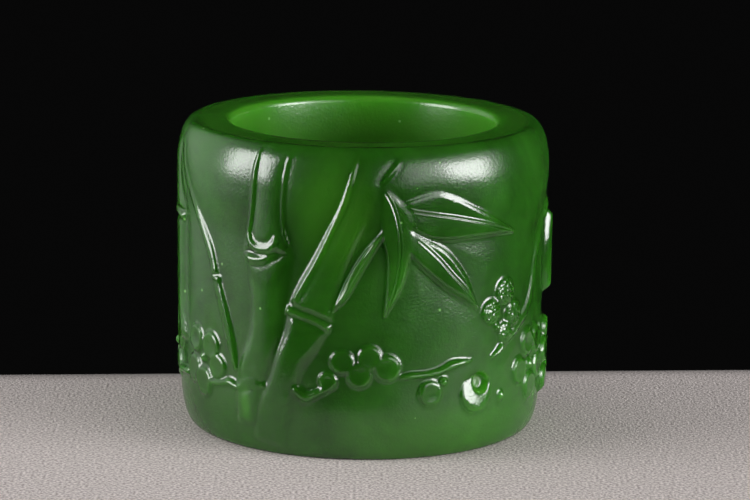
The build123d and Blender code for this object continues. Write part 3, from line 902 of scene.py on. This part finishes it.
def felt():
    """Pale warm grey mottled by noise that also raises the nap, and darkened by painted shade at the far
    edge.

    The painted shade runs with depth less the edge's slant, and the noise moves it a little.
    """
    material = bpy.data.materials.new("pale_felt")
    material.use_nodes = True
    tree = material.node_tree
    place = tree.nodes.new("ShaderNodeTexCoord").outputs["Object"]
    nap = filled(tree, tree.nodes.new("ShaderNodeTexNoise"), {
        "Vector": place, "Scale": NAP_PER_METRE, "Detail": 4}).outputs["Fac"]
    parts = filled(tree, tree.nodes.new("ShaderNodeSeparateXYZ"), {"Vector": place}).outputs
    unslanted = worked_out(tree, "MULTIPLY_ADD", parts["X"], -FELT_BACK_SLANT, parts["Y"])
    moved = worked_out(tree, "MULTIPLY_ADD", nap, SHADE_WANDER, unslanted)
    painted_shade = mapped(tree, moved, FELT_BACK - SHADE_BEFORE, FELT_BACK + SHADE_PAST,
                   interpolation="SMOOTHSTEP")
    filled(tree, tree.nodes["Principled BSDF"], {
        "Base Color": mixed(tree, painted_shade, toned(tree, nap, FELT_TONES), FELT_PAINTED_SHADE),
        "Roughness": 1.0, "Normal": bump_over(tree, nap, NAP_RELIEF, 1.0)})
    return material


floor.data.materials.append(felt())


# The light: two soft boxes low at the sides, the right one with a wide dim rim, and one above that is
# shaded off the ring and lights the felt alone. Round them is a dark surround with a few dim glows, as
# of light thrown back by a room.
def direction(azimuth, elevation):
    """The unit vector at an azimuth from the front and an elevation, both in degrees."""
    a, e = math.radians(azimuth), math.radians(elevation)
    return np.array([math.cos(e) * math.sin(a), -math.cos(e) * math.cos(a), math.sin(e)])


def softbox(name, azimuth, elevation, distance, width, height, power):
    """A rectangular lamp on a sphere round the ring's middle, turned to face it."""
    light = bpy.data.lights.new(name, "AREA")
    light.shape = "RECTANGLE"
    light.size, light.size_y = width, height
    light.energy = power
    lamp = bpy.data.objects.new(name, light)
    bpy.context.scene.collection.objects.link(lamp)
    lamp.location = distance * direction(azimuth, elevation) + np.array([0, 0, RING_HEIGHT / 2])
    lamp.rotation_euler = (math.pi / 2 - math.radians(elevation), 0, math.radians(azimuth))
    return lamp


softbox("left_box", azimuth=-74, elevation=15, distance=0.5, width=0.29, height=0.29, power=2.6)
softbox("right_box", azimuth=67, elevation=11, distance=0.5, width=0.26, height=0.22, power=2.4)
softbox("right_rim", azimuth=68, elevation=18, distance=0.55, width=0.50, height=0.36, power=0.9)
felt_lamp = softbox("felt_lamp", azimuth=0, elevation=80, distance=0.5, width=0.5, height=0.5, power=0.75)
felt_only = bpy.data.collections.new("felt_only")
felt_only.objects.link(floor)
felt_lamp.light_linking.receiver_collection = felt_only

# Each glow: azimuth, elevation, the angles off them where its fade starts and ends, and its level.
GLOWS = [(-112, 14, 8, 46, 0.8), (-80, 0, 8, 28, 0.36), (38, 12, 4, 24, 2.5)]
SURROUND_LEVEL = 0.0023


def surround():
    """Nearly black, with a dim glow round each of a few directions that fades from a near to a far angle."""
    world = bpy.data.worlds.new("dark_surround")
    world.use_nodes = True
    tree = world.node_tree
    seen = tree.nodes.new("ShaderNodeTexCoord").outputs["Generated"]
    total = SURROUND_LEVEL
    for azimuth, elevation, near, far, level in GLOWS:
        towards = tree.nodes.new("ShaderNodeVectorMath")
        towards.operation = "DOT_PRODUCT"
        filled(tree, towards, {0: seen, 1: direction(azimuth, elevation)})
        glow = mapped(tree, towards.outputs["Value"], math.cos(math.radians(far)),
                      math.cos(math.radians(near)), high=level, interpolation="SMOOTHSTEP")
        total = worked_out(tree, "ADD", glow, total)
    filled(tree, tree.nodes["Background"], {"Color": (1, 1, 1, 1), "Strength": total})
    return world


bpy.context.scene.world = surround()

# The camera: a long lens above the ring's level, tipped down at it and turned a little about its own axis.
CAMERA_AWAY = 279.04 * MM
CAMERA_HEIGHT = 73.706 * MM
CAMERA_PITCH = 0.2096
CAMERA_YAW = 0.0039
CAMERA_ROLL = 0.0139
FOCAL_PIXELS = 3397.0
PICTURE_WIDTH = 750
SENSOR_WIDTH = 36
NEAREST_SEEN = 10 * MM
lens = bpy.data.cameras.new("camera")
lens.sensor_width = SENSOR_WIDTH
lens.lens = FOCAL_PIXELS / PICTURE_WIDTH * SENSOR_WIDTH
lens.clip_start = NEAREST_SEEN
camera = bpy.data.objects.new("camera", lens)
bpy.context.scene.collection.objects.link(camera)
camera.location = (0, -CAMERA_AWAY, CAMERA_HEIGHT)
level_view = Euler((math.pi / 2 - CAMERA_PITCH, 0, -CAMERA_YAW)).to_matrix()
camera.rotation_euler = (level_view @ Matrix.Rotation(CAMERA_ROLL, 3, "Z")).to_euler()
bpy.context.scene.camera = camera
bpy.context.scene.view_settings.view_transform = "Standard"
